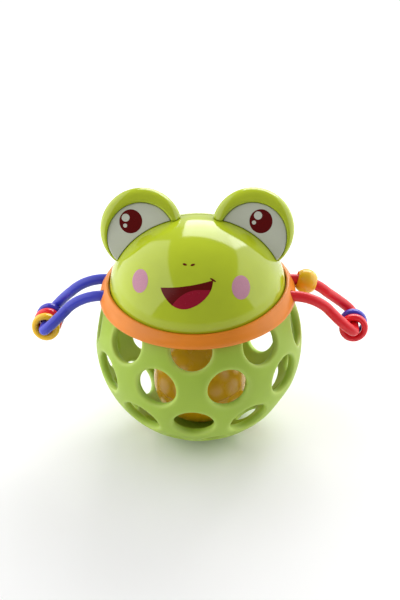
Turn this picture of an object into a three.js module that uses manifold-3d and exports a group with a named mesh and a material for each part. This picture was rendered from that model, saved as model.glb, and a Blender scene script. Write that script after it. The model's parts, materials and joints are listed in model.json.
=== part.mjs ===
// A baby's ball rattle with a frog's head, as an assembly of separate pieces.
//
// Millimetres, +Z up, the face towards -Y. The origin is on the floor under the ball's axis.
// A soft openwork ball carries a hard hollow head. An orange collar hides the joint and holds two
// tube loops, one on each side, with loose beads on them. A second, hard ball rolls inside the first.

import * as THREE from 'three';
import { mergeVertices } from 'three/addons/utils/BufferGeometryUtils.js';
import Module from 'manifold-3d';

const wasm = await Module();
wasm.setup();

// ---------------------------------------------------------------- driving dimensions

const GAP = 0.3; // clearance kept between pieces that touch
const BALL_R = 50; // outside of the soft ball
const CAVITY_R = 46; // inside of the soft ball
const FOOT_Z = -48.5; // the flat under the ball, measured from its centre
const POLE_HOLE_R = 7.4; // round hole in the middle of the flat
const SEAT_R = 48; // the ball steps in here, under the collar
const SEAT_Z = 26; // height of that step above the ball's centre
const RIM_Z = 35.2; // top edge of the ball, inside the head
const HOLE_DRAFT = 0.3; // a hole is this much wider outside and narrower inside
const HOLE_LENGTH = 12; // length of the tool that cuts a hole

const DOME_R = 41.6; // head dome, a half ellipsoid
const DOME_H = 32;
const DOME_Z = 30.5; // height of its widest section
const DOME_FOOT_Z = 31; // its lower edge
const DOME_WALL = 2.4;

const COLLAR_LOW_R = 46.6; // outer lower edge of the collar
const COLLAR_LOW_Z = 25.9;
const COLLAR_TOP_R = 43.4; // outer top edge at the front and back
const COLLAR_TOP_Z = 31.1;
const COLLAR_FLANGE_Z = 30.7; // the head stands on this inner flange
const COLLAR_RISE = 2.8; // the top edge climbs this much at the sides
const COLLAR_SKIRT_R = 43.3; // its lower rim clears the ball
const COLLAR_EASE = 0.1; // a little more than the usual gap where it fits over other pieces

const EYE_LEAN = THREE.MathUtils.degToRad( 34.5 ); // the eyes look up by this angle
const EYE_DEPTH = 27.5; // white plane, along the way the eyes look
const EYE_X = 26.1; // half the distance between the two eyes
const EYE_UP = 51.25; // middle of the eye bump, measured in the white plane
const EYE_R = 19.4; // outside of the eye bump
const EYE_WHITE_R = 15.6;
const EYE_WHITE_DROP = 3.85; // the white sits this much below the bump's middle
const EYE_LIP = 1.7; // the rim stands this proud of the white
const EYE_SPLIT = -4.6; // parting plane between the bump's halves
const EYE_BACK = -15; // rear of the bump
const EYE_WALL = 2;
const EYE_WHITE_T = 1;
const EYE_FLOOR = - 1.3; // depth of the seat that the white lies in
const EYE_FLOOR_T = 2;
const EYE_RIM_ROUND = 4.6; // rounding of the front rim and of the bump's rear
const EYE_BACK_ROUND = 7;

const PLATE_Z = 35.5; // underside of the plate that closes the head
const PLATE_T = 2.2;
const PLATE_R = 37.6;
const CLAMP_LOW_Z = 31.5;
const CLAMP_TOP_Z = 34.9;
const CLAMP_BORE_R = 21;
const SCREW_CIRCLE_R = 25;
const SCREW_R = 1.5;
const SCREW_HEAD_R = 2.8;
const SCREW_HEAD_T = 1.7;
const SCREW_LENGTH = 15.5;
const SCREW_SLOT = { length: 3, width: 0.7, depth: 0.5 };
const BOSS_R = 3.6;

const TUBE_R = 2.5; // the arm loops
const LEG_Y = 7.5; // half the distance between a loop's two legs
const LEG_Z = 29.3; // height of the sockets in the collar
const ROOT_X = 42; // the tube ends here, inside its socket
const LEG_BEND_X = 44.6; // the legs start to droop here
const LEG_BEND_R = 24;
const LEG_BEND = THREE.MathUtils.degToRad( 45 );
const LEG_SPLAY = 2.2; // the legs swing apart by this much on their way to the far end
const LEFT_LOOP = { front: 73.9, rear: 72.3 }; // front and rear corners of the loops' far ends
const RIGHT_LOOP = { front: 74.3, rear: 74.3 };
const LOOP_Z = 10.3;
const LOOP_HALF = 7.8; // half of its straight far end

const RING_OUTER_R = 6.9;
const RING_HOLE_R = 3.8;
const RING_T = 4.2;
const RING_PITCH = 4.45;
const RING_FIRST = - 4.7; // the front ring of each row, from the loop's middle
const RING_HANG = 0.6; // a ring hangs on its tube, so its middle is this much lower
const RING_LEAN = THREE.MathUtils.degToRad( 12 );
const BEAD_R = 5.9;
const BEAD_BORE_R = 3.3;
const BEAD_AT = THREE.MathUtils.degToRad( 17 ); // place of the round bead on the leg's bend

const RATTLE_R = 22.9;
const RATTLE_WALL = 1.5;
const PELLET_R = 2.5;
const PELLET_SPREAD = 3.8; // distance of each pellet from the rattle ball's axis

// Staggered rows of round holes in the ball: latitude, first longitude and radius.
const HOLE_ROWS = [
	{ latitude: 34, first: 18.4, radius: 9.5 },
	{ latitude: 11.6, first: - 1.6, radius: 9.5 },
	{ latitude: - 10.6, first: 18.4, radius: 9.5 },
	{ latitude: - 36.6, first: - 1.6, radius: 9.5 },
	{ latitude: - 60, first: 18.4, radius: 6 }
];
const HOLES_PER_ROW = 9;
const HOLE_TILT = THREE.MathUtils.degToRad( 16 ); // the whole pattern leans, front side up
const HOLE_LOWEST = THREE.MathUtils.degToRad( - 67 ); // a lower hole would break the foot
const HOLE_HIGHEST = THREE.MathUtils.degToRad( 29 ); // a higher one would meet the collar

// ---------------------------------------------------------------- materials

function plastic( color, roughness ) {

	return new THREE.MeshStandardMaterial( { color, roughness, metalness: 0 } );

}

const finishes = {
	softGreen: plastic( 0x9cc455, 0.62 ),
	headGreen: plastic( 0xb4c130, 0.18 ),
	orange: plastic( 0xe8822c, 0.48 ),
	white: plastic( 0xe9ece2, 0.35 ),
	blue: plastic( 0x3a38b8, 0.38 ),
	red: plastic( 0xd61c2a, 0.38 ),
	yellow: plastic( 0xe8b022, 0.35 ),
	amber: plastic( 0xc9931a, 0.15 ),
	inner: plastic( 0xd8d8d0, 0.5 ),
	steel: new THREE.MeshStandardMaterial( { color: 0xb8bbbf, roughness: 0.3, metalness: 1 } )
};

// ---------------------------------------------------------------- geometry helpers

// Merges shared vertices, drops triangles that have collapsed, and turns the faces outwards.
function closed( geometry ) {

	const bare = new THREE.BufferGeometry();
	bare.setAttribute( 'position', geometry.getAttribute( 'position' ).clone() );
	if ( geometry.index ) bare.setIndex( geometry.index );
	const welded = mergeVertices( bare, 1e-4 );
	const triangles = [];
	const index = welded.index.array;
	const position = welded.getAttribute( 'position' );
	const corner = [ new THREE.Vector3(), new THREE.Vector3(), new THREE.Vector3() ];
	let volume = 0;

	for ( let i = 0; i < index.length; i += 3 ) {

		const [ a, b, c ] = [ index[ i ], index[ i + 1 ], index[ i + 2 ] ];
		if ( a === b || b === c || a === c ) continue;
		triangles.push( a, b, c );
		corner[ 0 ].fromBufferAttribute( position, a );
		corner[ 1 ].fromBufferAttribute( position, b );
		corner[ 2 ].fromBufferAttribute( position, c );
		volume += corner[ 0 ].dot( corner[ 1 ].clone().cross( corner[ 2 ] ) );

	}

	if ( volume < 0 ) triangles.reverse();
	welded.setIndex( triangles );
	return welded;

}

function toSolid( geometry ) {

	const mesh = closed( geometry );
	return new wasm.Manifold( new wasm.Mesh( {
		numProp: 3,
		vertProperties: new Float32Array( mesh.getAttribute( 'position' ).array ),
		triVerts: new Uint32Array( mesh.index.array )
	} ) );

}

function toGeometry( solid ) {

	const mesh = solid.getMesh();
	const geometry = new THREE.BufferGeometry();
	geometry.setAttribute( 'position', new THREE.BufferAttribute( mesh.vertProperties, 3 ) );
	geometry.setIndex( new THREE.BufferAttribute( mesh.triVerts, 1 ) );
	return geometry;

}

function cut( geometry, cutters ) {

	let solid = toSolid( geometry );
	for ( const cutter of cutters ) solid = solid.subtract( toSolid( cutter ) );
	return toGeometry( solid );

}

function join( geometry, others ) {

	let solid = toSolid( geometry );
	for ( const other of others ) solid = solid.add( toSolid( other ) );
	return toGeometry( solid );

}

// Turns a profile of [ radius, height ] pairs about the Z axis.
function turned( profile, segments ) {

	const points = profile.map( ( [ radius, height ] ) => new THREE.Vector2( radius, height ) );
	return new THREE.LatheGeometry( points, segments ).rotateX( Math.PI / 2 );

}

// Points of an ellipse in the [ radius, height ] plane, between two heights on it.
function ellipseArc( radius, height, centre, from, to, steps ) {

	const start = Math.asin( ( from - centre ) / height );
	const end = Math.asin( ( to - centre ) / height );
	const points = [];

	for ( let i = 0; i <= steps; i ++ ) {

		const angle = start + ( end - start ) * i / steps;
		points.push( [ Math.max( 0, radius * Math.cos( angle ) ), centre + height * Math.sin( angle ) ] );

	}

	return points;

}

function sphereArc( radius, from, to, steps ) {

	return ellipseArc( radius, radius, 0, from, to, steps );

}

// A round bar along Z between two heights, for pins, bores and bosses.
function bar( radius, low, high, segments = 20 ) {

	const geometry = new THREE.CylinderGeometry( radius, radius, high - low, segments );
	return geometry.rotateX( Math.PI / 2 ).translate( 0, 0, ( low + high ) / 2 );

}

// ---------------------------------------------------------------- the toy and its parts list

const toy = new THREE.Group();
const body = new THREE.Group(); // everything is drawn from the ball's centre
body.position.z = - FOOT_Z;
toy.add( body );

function place( name, geometry, material, parent = body ) {

	const mesh = new THREE.Mesh( closed( geometry ), material );
	mesh.name = name;
	parent.add( mesh );
	return mesh;

}

// ---------------------------------------------------------------- soft ball

function ballBody() {

	const flatEdge = Math.sqrt( BALL_R ** 2 - FOOT_Z ** 2 );
	const profile = [
		[ POLE_HOLE_R, FOOT_Z ],
		[ flatEdge, FOOT_Z ],
		...sphereArc( BALL_R, FOOT_Z, SEAT_Z, 12 ).slice( 1 ),
		...sphereArc( SEAT_R, SEAT_Z, RIM_Z, 2 ),
		...sphereArc( CAVITY_R, RIM_Z, - Math.sqrt( CAVITY_R ** 2 - POLE_HOLE_R ** 2 ), 11 )
	];
	profile.push( profile[ 0 ] );

	const holes = [];

	for ( const row of HOLE_ROWS ) {

		for ( let i = 0; i < HOLES_PER_ROW; i ++ ) {

			const latitude = THREE.MathUtils.degToRad( row.latitude );
			const longitude = THREE.MathUtils.degToRad( row.first + 360 * i / HOLES_PER_ROW );
			const turn = new THREE.Matrix4().makeRotationX( - HOLE_TILT )
				.multiply( new THREE.Matrix4().makeRotationZ( longitude ) )
				.multiply( new THREE.Matrix4().makeRotationX( Math.PI - latitude ) );
			const height = Math.asin( new THREE.Vector3( 0, 1, 0 ).applyMatrix4( turn ).z );
			if ( height < HOLE_LOWEST || height > HOLE_HIGHEST ) continue;

			const [ wide, narrow ] = [ row.radius + HOLE_DRAFT, row.radius - HOLE_DRAFT ];
			const hole = new THREE.CylinderGeometry( wide, narrow, HOLE_LENGTH, 16 );
			hole.translate( 0, ( BALL_R + CAVITY_R ) / 2, 0 );
			holes.push( hole.applyMatrix4( turn ) );

		}

	}

	return cut( turned( profile, 40 ), holes );

}

place( 'ball_body', ballBody(), finishes.softGreen );

// ---------------------------------------------------------------- collar

// A ring whose top edge climbs towards the sides, with four sockets for the tube ends.
// The third number of a profile point is how much of the climb it takes part in.
function collar() {

	const lipR = DOME_R + GAP + COLLAR_EASE;
	const seatLowZ = SEAT_Z + GAP + COLLAR_EASE;
	const footZ = COLLAR_LOW_Z - 0.4;
	const seat = sphereArc( SEAT_R + GAP, COLLAR_FLANGE_Z, seatLowZ, 2 );
	const profile = [
		[ COLLAR_LOW_R - 0.9, footZ, 0 ],
		[ COLLAR_LOW_R, COLLAR_LOW_Z + 0.1, 0 ],
		[ COLLAR_LOW_R, COLLAR_LOW_Z + 1.1, 0.1 ],
		[ COLLAR_LOW_R - 1.1, COLLAR_LOW_Z + 3.2, 0.5 ],
		[ COLLAR_TOP_R + 0.4, COLLAR_TOP_Z - 0.6, 0.9 ],
		[ COLLAR_TOP_R, COLLAR_TOP_Z - 0.1, 1 ],
		[ COLLAR_TOP_R - 0.6, COLLAR_TOP_Z + 0.1, 1 ],
		[ lipR, COLLAR_TOP_Z - 0.1, 1 ],
		[ lipR, COLLAR_FLANGE_Z, 0 ],
		...seat.map( ( [ radius, height ] ) => [ radius, height, 0 ] ),
		[ COLLAR_SKIRT_R, seatLowZ, 0 ],
		[ COLLAR_SKIRT_R, footZ, 0 ]
	];
	profile.push( profile[ 0 ] );

	const ring = turned( profile, 48 );
	const position = ring.getAttribute( 'position' );

	for ( let i = 0; i < position.count; i ++ ) {

		const [ radius, height, climb ] = profile[ i % profile.length ];
		const side = ( position.getX( i ) / radius ) ** 2;
		position.setZ( i, height + COLLAR_RISE * side * climb );

	}

	const sockets = [];

	for ( const side of [ - 1, 1 ] ) {

		for ( const leg of [ - 1, 1 ] ) {

			const socket = bar( TUBE_R + GAP, ROOT_X - GAP, 52 ).rotateY( Math.PI / 2 );
			socket.translate( 0, leg * LEG_Y, LEG_Z );
			if ( side < 0 ) socket.rotateZ( Math.PI );
			sockets.push( socket );

		}

	}

	return cut( ring, sockets );

}

place( 'collar', collar(), finishes.orange );

// ---------------------------------------------------------------- head dome

function screwPlaces() {

	return [ 45, 135, 225, 315 ].map( ( angle ) => {

		const turn = THREE.MathUtils.degToRad( angle );
		return [ SCREW_CIRCLE_R * Math.cos( turn ), SCREW_CIRCLE_R * Math.sin( turn ) ];

	} );

}

// The dome as a solid, thickened or thinned by a margin, for cutting the eyes to it.
function domeSolid( margin ) {

	const top = DOME_Z + DOME_H + margin;
	const profile = [
		[ 0, DOME_Z ],
		...ellipseArc( DOME_R + margin, DOME_H + margin, DOME_Z, DOME_Z, top, 11 )
	];
	return turned( profile, 40 );

}

function headDome() {

	const innerR = DOME_R - DOME_WALL;
	const innerH = DOME_H - DOME_WALL;
	const profile = [
		...ellipseArc( DOME_R, DOME_H, DOME_Z, DOME_FOOT_Z, DOME_Z + DOME_H, 11 ),
		...ellipseArc( innerR, innerH, DOME_Z, DOME_Z + innerH, DOME_FOOT_Z, 7 )
	];
	profile.push( profile[ 0 ] );
	const bossFoot = PLATE_Z + PLATE_T + GAP;
	const roof = DOME_Z + innerH * Math.sqrt( 1 - ( SCREW_CIRCLE_R / innerR ) ** 2 );
	const bosses = [];
	const pilots = [];

	for ( const [ x, y ] of screwPlaces() ) {

		const boss = toSolid( bar( BOSS_R, bossFoot, roof + 4, 12 ).translate( x, y, 0 ) );
		bosses.push( toGeometry( boss.intersect( toSolid( domeSolid( - DOME_WALL / 2 ) ) ) ) );
		pilots.push( bar( SCREW_R + GAP, bossFoot - 1, bossFoot + 11, 12 ).translate( x, y, 0 ) );

	}

	return cut( join( turned( profile, 40 ), bosses ), pilots );

}

place( 'head_dome', headDome(), finishes.headGreen );

// ---------------------------------------------------------------- plate, clamp ring and screws

function screwHoles( low, high ) {

	return screwPlaces().map( ( [ x, y ] ) => bar( SCREW_R + GAP, low, high, 12 ).translate( x, y, 0 ) );

}

const plateTop = PLATE_Z + PLATE_T;
place( 'head_base_plate', cut( bar( PLATE_R, PLATE_Z, plateTop, 48 ),
	screwHoles( PLATE_Z - 1, plateTop + 1 ) ), finishes.inner );

function clampRing() {

	const profile = [
		[ CLAMP_BORE_R, CLAMP_LOW_Z ],
		...sphereArc( CAVITY_R - GAP, CLAMP_LOW_Z, CLAMP_TOP_Z, 3 ),
		[ CLAMP_BORE_R, CLAMP_TOP_Z ],
		[ CLAMP_BORE_R, CLAMP_LOW_Z ]
	];
	return cut( turned( profile, 40 ), screwHoles( CLAMP_LOW_Z - 1, CLAMP_TOP_Z + 1 ) );

}

place( 'clamp_ring', clampRing(), finishes.inner );

// A pan-head screw with its head down and a cross recess in it.
function screw() {

	const head = CLAMP_LOW_Z - GAP;
	const tip = head + SCREW_LENGTH;
	const profile = [
		[ 0, head - SCREW_HEAD_T ],
		[ SCREW_HEAD_R - 0.8, head - SCREW_HEAD_T ],
		[ SCREW_HEAD_R, head - SCREW_HEAD_T + 0.7 ],
		[ SCREW_HEAD_R, head ],
		[ SCREW_R, head ],
		[ SCREW_R, tip - 1.5 ],
		[ 0, tip ]
	];
	const { length, width, depth } = SCREW_SLOT;
	const slot = () => new THREE.BoxGeometry( length, width, 2 * depth ).translate( 0, 0, head - SCREW_HEAD_T );
	return cut( turned( profile, 16 ), [ slot(), slot().rotateZ( Math.PI / 2 ) ] );

}

screwPlaces().forEach( ( [ x, y ], i ) => {

	place( `clamp_screw_${ i + 1 }`, screw(), finishes.steel ).position.set( x, y, 0 );

} );

// ---------------------------------------------------------------- eyes

// Local axes of an eye: Z is the way it looks, Y is up in its white plane.
function eyeFrame( side ) {

	const eye = new THREE.Group();
	const along = new THREE.Vector3( 0, - Math.cos( EYE_LEAN ), Math.sin( EYE_LEAN ) );
	const up = new THREE.Vector3( 0, Math.sin( EYE_LEAN ), Math.cos( EYE_LEAN ) );
	eye.position.set( side * EYE_X, 0, 0 );
	eye.position.addScaledVector( along, EYE_DEPTH ).addScaledVector( up, EYE_UP );
	eye.rotation.x = Math.PI / 2 - EYE_LEAN;
	eye.updateMatrix();
	body.add( eye );
	return eye;

}

function rounded( radius, low, high, corner, steps ) {

	const points = [ [ 0, low ], [ radius, low ] ];

	for ( let i = 0; i <= steps; i ++ ) {

		const angle = Math.PI / 2 * i / steps;
		const [ out, up ] = [ corner * ( Math.cos( angle ) - 1 ), corner * ( Math.sin( angle ) - 1 ) ];
		points.push( [ radius + out, high + up ] );

	}

	points.push( [ 0, high ] );
	return points;

}

function eyeFront( domeInEye ) {

	const shell = turned( rounded( EYE_R, EYE_SPLIT, EYE_LIP, EYE_RIM_ROUND, 5 ), 32 );
	const recess = bar( EYE_WHITE_R + GAP, EYE_FLOOR, EYE_LIP + 1, 32 ).translate( 0, - EYE_WHITE_DROP, 0 );
	const hollow = bar( EYE_R - EYE_WALL, EYE_SPLIT - 1, EYE_FLOOR - EYE_FLOOR_T, 28 );
	return cut( shell, [ recess, hollow, domeInEye ] );

}

function eyeBack( domeInEye ) {

	const top = EYE_SPLIT - GAP;
	const flip = ( profile ) => profile.map( ( [ radius, height ] ) => [ radius, - height ] );
	const outside = rounded( EYE_R, - top, - EYE_BACK, EYE_BACK_ROUND, 5 );
	const inside = rounded( EYE_R - EYE_WALL, - top - 1, - EYE_BACK - EYE_WALL, EYE_BACK_ROUND - EYE_WALL, 3 );
	const shell = turned( flip( outside ), 32 );
	const hollow = turned( flip( inside ), 28 );
	return cut( shell, [ hollow, domeInEye ] );

}

function eyeWhite( domeInEye ) {

	const disc = bar( EYE_WHITE_R, - EYE_WHITE_T, 0, 40 ).translate( 0, - EYE_WHITE_DROP, 0 );
	return cut( disc, [ domeInEye ] );

}

for ( const [ side, name ] of [ [ - 1, 'left' ], [ 1, 'right' ] ] ) {

	const eye = eyeFrame( side );
	const domeInEye = domeSolid( GAP ).applyMatrix4( eye.matrix.clone().invert() );
	place( `eye_front_${ name }`, eyeFront( domeInEye ), finishes.headGreen, eye );
	place( `eye_back_${ name }`, eyeBack( domeInEye ), finishes.headGreen, eye );
	place( `eye_white_${ name }`, eyeWhite( domeInEye ), finishes.white, eye );

}

// ---------------------------------------------------------------- arm loops

// The bend of one leg: a circular arc in an upright plane, from level to its full droop.
class LegBend extends THREE.Curve {

	constructor( side, y, rising ) {

		super();
		Object.assign( this, { side, y, rising } );

	}

	getPoint( t, target = new THREE.Vector3() ) {

		const angle = LEG_BEND * ( this.rising ? 1 - t : t );
		return target.set(
			this.side * ( LEG_BEND_X + LEG_BEND_R * Math.sin( angle ) ),
			this.y,
			LEG_Z - LEG_BEND_R * ( 1 - Math.cos( angle ) )
		);

	}

}

// One loop: in along the front leg, across the far end, and back along the rear leg.
function armPath( side, { front, rear } ) {

	const path = new THREE.CurvePath();
	const at = ( x, y, z ) => new THREE.Vector3( side * x, y, z );
	const elbowX = LEG_BEND_X + LEG_BEND_R * Math.sin( LEG_BEND );
	const elbowZ = LEG_Z - LEG_BEND_R * ( 1 - Math.cos( LEG_BEND ) );
	const reach = 8; // handles of the two curves that lead to the far end
	const handleX = elbowX + reach * Math.cos( LEG_BEND );
	const handleZ = elbowZ - reach * Math.sin( LEG_BEND );
	const endHandle = 3.4;
	const handleSkew = ( front - rear ) * endHandle / ( 2 * LOOP_HALF );

	path.add( new THREE.LineCurve3( at( ROOT_X, - LEG_Y, LEG_Z ), at( LEG_BEND_X, - LEG_Y, LEG_Z ) ) );
	path.add( new LegBend( side, - LEG_Y, false ) );
	path.add( new THREE.CubicBezierCurve3(
		at( elbowX, - LEG_Y, elbowZ ), at( handleX, - LEG_Y - LEG_SPLAY, handleZ ),
		at( front + handleSkew, - LOOP_HALF - endHandle, LOOP_Z ), at( front, - LOOP_HALF, LOOP_Z ) ) );
	path.add( new THREE.LineCurve3( at( front, - LOOP_HALF, LOOP_Z ), at( rear, LOOP_HALF, LOOP_Z ) ) );
	path.add( new THREE.CubicBezierCurve3(
		at( rear, LOOP_HALF, LOOP_Z ), at( rear - handleSkew, LOOP_HALF + endHandle, LOOP_Z ),
		at( handleX, LEG_Y + LEG_SPLAY, handleZ ), at( elbowX, LEG_Y, elbowZ ) ) );
	path.add( new LegBend( side, LEG_Y, true ) );
	path.add( new THREE.LineCurve3( at( LEG_BEND_X, LEG_Y, LEG_Z ), at( ROOT_X, LEG_Y, LEG_Z ) ) );
	return path;

}

function armLoop( side, corners ) {

	const section = new THREE.Shape();
	section.absarc( 0, 0, TUBE_R, 0, Math.PI * 2 );
	return new THREE.ExtrudeGeometry( section, {
		steps: 56, curveSegments: 4, bevelEnabled: false, extrudePath: armPath( side, corners )
	} );

}

place( 'arm_loop_left', armLoop( - 1, LEFT_LOOP ), finishes.blue );
place( 'arm_loop_right', armLoop( 1, RIGHT_LOOP ), finishes.red );

// ---------------------------------------------------------------- beads

function ringBead() {

	const middle = ( RING_OUTER_R + RING_HOLE_R ) / 2;
	const half = ( RING_OUTER_R - RING_HOLE_R ) / 2;
	const sides = 8;
	const profile = [];

	for ( let i = 0; i <= sides; i ++ ) {

		const angle = Math.PI * 2 * ( i % sides + 0.5 ) / sides;
		const soft = ( value ) => Math.sign( value ) * Math.abs( value ) ** 0.75;
		profile.push( [ middle + half * soft( Math.cos( angle ) ), RING_T / 2 * soft( Math.sin( angle ) ) ] );

	}

	return turned( profile, 22 );

}

// A row of rings on the far end of a loop, counted from the front.
function ringRow( side, { front, rear }, rings ) {

	const skew = ( front - rear ) / ( 2 * LOOP_HALF );

	rings.forEach( ( [ name, material ], i ) => {

		const along = RING_FIRST + i * RING_PITCH;
		const ring = place( name, ringBead(), material );
		ring.position.set( side * ( front - skew * ( along + LOOP_HALF ) ), along, LOOP_Z - RING_HANG );
		ring.rotation.order = 'ZXY';
		ring.rotation.z = side * Math.atan( skew );
		ring.rotation.x = Math.PI / 2 - RING_LEAN;

	} );

}

ringRow( - 1, LEFT_LOOP, [
	[ 'left_ring_yellow', finishes.yellow ],
	[ 'left_ring_red', finishes.red ],
	[ 'left_ring_blue', finishes.blue ]
] );
ringRow( 1, RIGHT_LOOP, [
	[ 'right_ring_red', finishes.red ],
	[ 'right_ring_blue', finishes.blue ]
] );

function roundBead() {

	const flare = 0.4;
	const half = Math.sqrt( BEAD_R ** 2 - ( BEAD_BORE_R + flare ) ** 2 );
	const profile = [
		[ BEAD_BORE_R, - half + flare ],
		...sphereArc( BEAD_R, - half, half, 8 ),
		[ BEAD_BORE_R, half - flare ],
		[ BEAD_BORE_R, - half + flare ]
	];
	return turned( profile, 24 );

}

const roundBeadMesh = place( 'round_bead_yellow', roundBead(), finishes.yellow );
roundBeadMesh.position.set(
	LEG_BEND_X + LEG_BEND_R * Math.sin( BEAD_AT ), LEG_Y, LEG_Z - LEG_BEND_R * ( 1 - Math.cos( BEAD_AT ) ) );
roundBeadMesh.rotation.y = Math.PI / 2 + BEAD_AT;

// ---------------------------------------------------------------- rattle ball

const rattle = new THREE.Group();
rattle.position.z = - ( CAVITY_R - RATTLE_R - GAP );
body.add( rattle );

function rattleShell() {

	const seam = GAP / 2;
	const inner = RATTLE_R - RATTLE_WALL;
	const profile = [ ...sphereArc( RATTLE_R, seam, RATTLE_R, 8 ), ...sphereArc( inner, inner, seam, 5 ) ];
	profile.push( profile[ 0 ] );
	return turned( profile, 28 );

}

place( 'rattle_shell_lower', rattleShell().rotateX( Math.PI ), finishes.amber, rattle );
place( 'rattle_shell_upper', rattleShell(), finishes.amber, rattle );

const pelletPath = RATTLE_R - RATTLE_WALL - GAP - PELLET_R;
const pelletDrop = Math.sqrt( pelletPath ** 2 - PELLET_SPREAD ** 2 );

for ( let i = 0; i < 3; i ++ ) {

	const turn = Math.PI * 2 * i / 3;
	const grain = new THREE.SphereGeometry( PELLET_R, 10, 6 );
	const pellet = place( `pellet_${ i + 1 }`, grain, finishes.inner, rattle );
	pellet.position.set( PELLET_SPREAD * Math.cos( turn ), PELLET_SPREAD * Math.sin( turn ), - pelletDrop );

}

export default toy;
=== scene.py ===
# %% [markdown]
# # A rattle ball with a frog's head
# This is a baby's toy in two shapes. Below is a soft ball with round holes, which a small hand can
# grip, and a hard ball rolls inside it. Above is a hard, glossy frog's head in an orange collar.
# The collar holds two tube loops with loose beads on them.
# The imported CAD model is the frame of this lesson. Every finer piece takes the place of a CAD node,
# rides on the same body, and lies in the same space.

import json
import math

import bmesh
import bpy
import numpy as np
from mathutils import Matrix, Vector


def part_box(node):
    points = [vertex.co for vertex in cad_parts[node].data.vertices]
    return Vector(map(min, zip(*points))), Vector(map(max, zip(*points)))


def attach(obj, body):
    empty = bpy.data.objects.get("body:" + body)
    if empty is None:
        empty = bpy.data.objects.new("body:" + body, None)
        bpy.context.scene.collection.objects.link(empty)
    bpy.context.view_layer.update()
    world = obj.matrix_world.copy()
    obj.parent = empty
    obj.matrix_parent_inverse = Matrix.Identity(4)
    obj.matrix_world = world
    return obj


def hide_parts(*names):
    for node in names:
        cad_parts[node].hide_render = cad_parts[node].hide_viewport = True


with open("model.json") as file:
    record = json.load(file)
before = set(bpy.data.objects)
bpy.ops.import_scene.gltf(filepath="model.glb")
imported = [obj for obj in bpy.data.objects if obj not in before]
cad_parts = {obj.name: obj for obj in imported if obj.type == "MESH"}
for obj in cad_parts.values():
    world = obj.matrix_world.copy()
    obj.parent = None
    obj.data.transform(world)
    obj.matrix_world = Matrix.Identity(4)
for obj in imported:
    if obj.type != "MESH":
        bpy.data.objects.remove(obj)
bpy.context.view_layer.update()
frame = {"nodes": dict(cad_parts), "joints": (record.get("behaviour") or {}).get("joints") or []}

# %% [markdown]
# Every size below is in millimetres from the middle of the soft ball, because nearly every surface
# of the toy is part of a ball or is turned about its upright axis. That point isn't guessed: the
# rattle ball rolls about it, so it is the pivot of that joint in the record.

# %% Units and the middle of the ball
MM = 0.001
joints = {joint["name"]: joint for joint in frame["joints"]}
CENTRE = np.array(joints["rattle_roll"]["pos_m"])


def to_frame(points):
    """Metres in the shared frame = the ball's middle + millimetres / 1000."""
    return CENTRE + MM * np.asarray(points, float)


def from_frame(points):
    """Millimetres from the ball's middle = (metres - the ball's middle) * 1000."""
    return (np.asarray(points, float) - CENTRE) / MM


def middle_of(*nodes):
    """Middle of the box round some CAD nodes, in millimetres from the ball's middle."""
    corners = np.array([corner[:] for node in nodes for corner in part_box(node)])
    return from_frame((corners.min(0) + corners.max(0)) / 2)


print("middle of the ball:", CENTRE, "middle of the rattle ball:",
      middle_of("rattle_shell_lower", "rattle_shell_upper").round(2))

# %% [markdown]
# The camera comes first, so that every later piece can be judged from it. It looks down on the toy
# at about 35 degrees, a little from the right, with the toy leaning slightly in the picture. A
# small shift moves the toy below the middle of the picture without tilting the camera.

# %% Camera
VIEW_TURN, VIEW_HEIGHT, VIEW_LEAN = np.radians([3.0, 34.5, 1.5])
VIEW_DISTANCE = 0.6
LENS_MM, SHIFT_RIGHT, SHIFT_UP = 73.76, 0.0018, 0.0638


def direction(turn, height):
    """Unit vector: turn goes from the front towards +X, height goes up from level."""
    return np.array([math.sin(turn) * math.cos(height), -math.cos(turn) * math.cos(height), math.sin(height)])


def aimed(place, back, lean=0.0):
    """Matrix of a camera or light at a place, with its back along a direction, turned by a lean."""
    right = np.cross([0, 0, 1], back)
    right /= np.linalg.norm(right)
    up = np.cross(back, right)
    across = right * math.cos(lean) - up * math.sin(lean)
    matrix = Matrix.Identity(4)
    for column, axis in enumerate((across, np.cross(back, across), back, place)):
        for row in range(3):
            matrix[row][column] = axis[row]
    return matrix


lens = bpy.data.cameras.new("camera")
lens.lens, lens.shift_x, lens.shift_y = LENS_MM, SHIFT_RIGHT, SHIFT_UP
camera = bpy.data.objects.new("camera", lens)
bpy.context.scene.collection.objects.link(camera)
view_back = direction(VIEW_TURN, VIEW_HEIGHT)
camera.matrix_world = aimed(CENTRE + VIEW_DISTANCE * view_back, view_back, VIEW_LEAN)
bpy.context.scene.camera = camera
print("camera stands at", (CENTRE + VIEW_DISTANCE * view_back).round(3))

# %% [markdown]
# Next come the tools for surfaces. A surface is a grid of points worked out as whole arrays, and
# its faces join each point to its neighbours. Where a row shrinks to one point, as at a pole, the
# doubles are merged so that the mesh is closed. The mesh's signed volume shows if the faces point
# inwards, and then they are all turned round.

# %% Tools for surfaces
WELD = 1e-6


def grid(rows, columns, rows_close=False, columns_close=True):
    """Faces of a grid of points: each joins point (i, j) to (i, j+1), (i+1, j+1) and (i+1, j)."""
    i, j = np.meshgrid(np.arange(rows if rows_close else rows - 1),
                       np.arange(columns if columns_close else columns - 1), indexing="ij")
    below, beside = (i + 1) % rows, (j + 1) % columns
    corners = (i * columns + j, i * columns + beside, below * columns + beside, below * columns + j)
    return np.stack(corners, -1).reshape(-1, 4)


def mesh_of(name, points, faces):
    """Closed mesh from points in millimetres, with its doubles merged and its faces outwards."""
    mesh = bpy.data.meshes.new(name)
    mesh.from_pydata(to_frame(points).tolist(), [], faces.tolist())
    work = bmesh.new()
    work.from_mesh(mesh)
    bmesh.ops.remove_doubles(work, verts=work.verts, dist=WELD)
    if work.calc_volume(signed=True) < 0:
        bmesh.ops.reverse_faces(work, faces=work.faces)
    work.to_mesh(mesh)
    work.free()
    return mesh


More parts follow.
